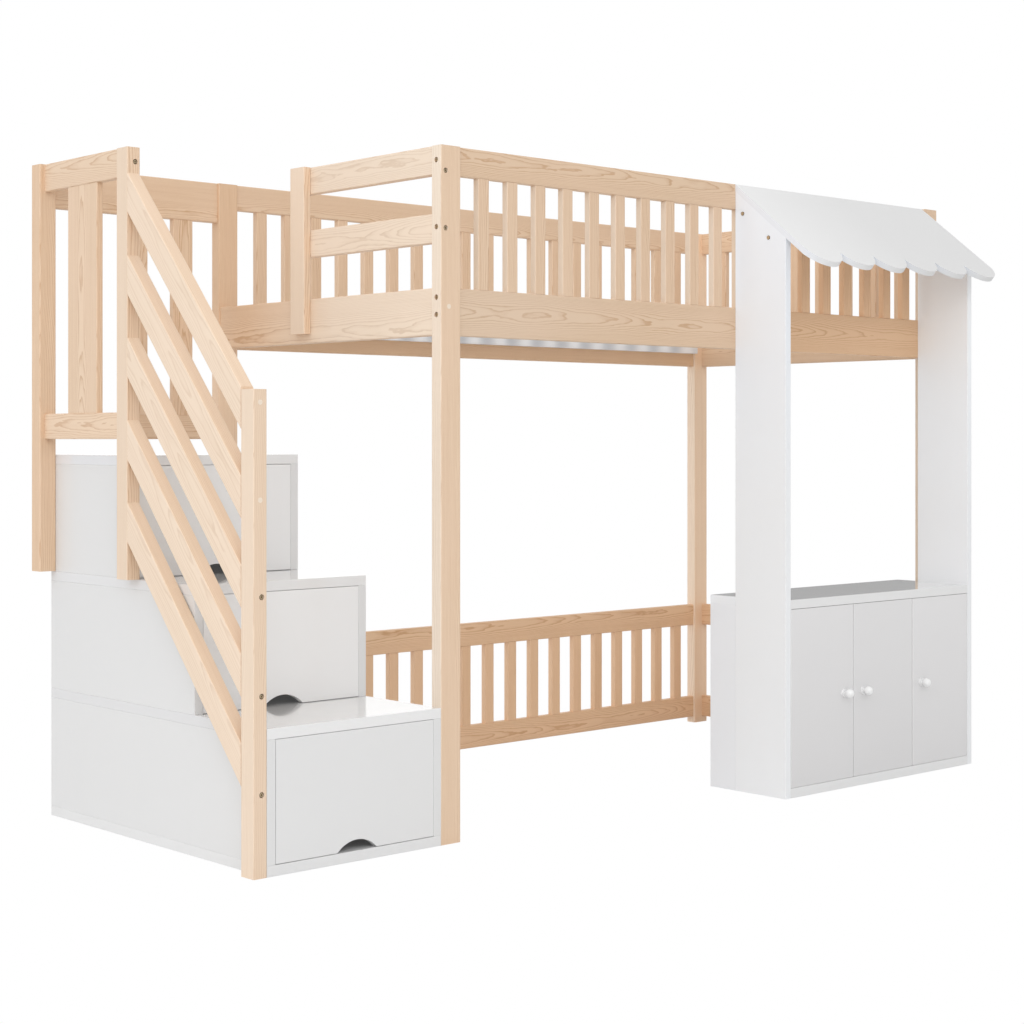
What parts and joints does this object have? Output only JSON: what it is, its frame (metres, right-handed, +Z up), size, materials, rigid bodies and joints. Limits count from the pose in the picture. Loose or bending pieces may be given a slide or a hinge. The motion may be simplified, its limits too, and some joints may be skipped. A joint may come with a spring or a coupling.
{
  "type": "bunk bed with storage stairs",
  "caption": "Raised wooden bed with guard rails, a white storage staircase with flap doors at one end and a play shop front with cupboard and scalloped roof below.",
  "frame": {"origin": "centre of the footprint on the floor", "axes": "+X along the long side of the bed, away from the stairs; +Y to the back (wall side); +Z up"},
  "size_m": [2.55, 1.2718, 1.679],
  "materials": {
    "pine": "clear satin lacquer on light solid pine, long grain along each member",
    "white_board": "smooth white semi-gloss lacquer on board",
    "white_gloss_top": "high gloss white lacquer on board",
    "white_slat": "plain matt white painted slat and ledge",
    "white_knob": "glossy white turned knob",
    "steel": "bright zinc-plated steel"
  },
  "bodies": {
    "bed": {"back_balusters": "pine", "back_rail_bottom": "pine", "back_rail_top": "pine", "bed_slats": "white_slat", "cupboard_back": "white_board", "cupboard_base": "white_board", "cupboard_counter": "white_gloss_top", "cupboard_divider": "white_board", "cupboard_rear_sides": "white_board", "end_guard_balusters": "pine", "end_guard_rails": "pine", "entry_post": "pine", "frame_bolts": "steel", "front_balusters": "pine", "front_rail_bottom": "pine", "front_rail_top": "pine", "handrail_boards": "pine", "left_end_rail_bottom": "pine", "left_end_rail_middle": "pine", "left_end_rail_top": "pine", "newel_post": "pine", "pivot_pins": "steel", "platform_back_boards": "pine", "platform_back_rail_bottom": "pine", "platform_back_rail_top": "pine", "platform_post_front": "pine", "platform_post_rear": "pine", "platform_side_board": "pine", "platform_side_rail_bottom": "pine", "platform_side_rail_top": "pine", "post_back_left": "pine", "post_back_right": "pine", "post_front_left": "pine", "post_front_right": "pine", "rear_guard_balusters": "pine", "rear_guard_rails": "pine", "right_end_balusters": "pine", "right_end_rail_bottom": "pine", "right_end_rail_top": "pine", "roof_cleats": "white_board", "roof_panel": "white_board", "slat_cleats": "white_slat", "stair_back_panels": "white_board", "stair_base_plate": "white_board", "stair_side_panels": "white_board", "stair_tread_one": "white_gloss_top", "stair_tread_three": "white_gloss_top", "stair_tread_two": "white_gloss_top", "stall_side_boards": "white_board", "wood_plugs": "pine"},
    "stair_door_one": {"stair_door_one": "white_board"},
    "stair_door_two": {"stair_door_two": "white_board"},
    "stair_door_three": {"stair_door_three": "white_board"},
    "cupboard_door_left": {"cupboard_door_left": "white_board", "cupboard_knob_left": "white_knob"},
    "cupboard_door_middle": {"cupboard_door_middle": "white_board", "cupboard_knob_middle": "white_knob"},
    "cupboard_door_right": {"cupboard_door_right": "white_board", "cupboard_knob_right": "white_knob"}
  },
  "joints": [
    {"name": "stair_door_one_hinge", "type": "hinge", "parent": "bed", "child": "stair_door_one", "pos_m": [-0.977, -0.34657, 0.2995], "axis": [-1, 0, 0], "range_deg": [0, 90]},
    {"name": "stair_door_two_hinge", "type": "hinge", "parent": "bed", "child": "stair_door_two", "pos_m": [-0.977, -0.05457, 0.602], "axis": [-1, 0, 0], "range_deg": [0, 90]},
    {"name": "stair_door_three_hinge", "type": "hinge", "parent": "bed", "child": "stair_door_three", "pos_m": [-0.977, 0.23443, 0.903], "axis": [-1, 0, 0], "range_deg": [0, 90]},
    {"name": "cupboard_door_left_hinge", "type": "hinge", "parent": "bed", "child": "cupboard_door_left", "pos_m": [0.3715, -0.51957, 0.27], "axis": [0, 0, -1], "range_deg": [0, 95]},
    {"name": "cupboard_door_middle_hinge", "type": "hinge", "parent": "bed", "child": "cupboard_door_middle", "pos_m": [0.90783, -0.51957, 0.27], "axis": [0, 0, 1], "range_deg": [0, 95]},
    {"name": "cupboard_door_right_hinge", "type": "hinge", "parent": "bed", "child": "cupboard_door_right", "pos_m": [1.1815, -0.51957, 0.27], "axis": [0, 0, 1], "range_deg": [0, 95]}
  ]
}
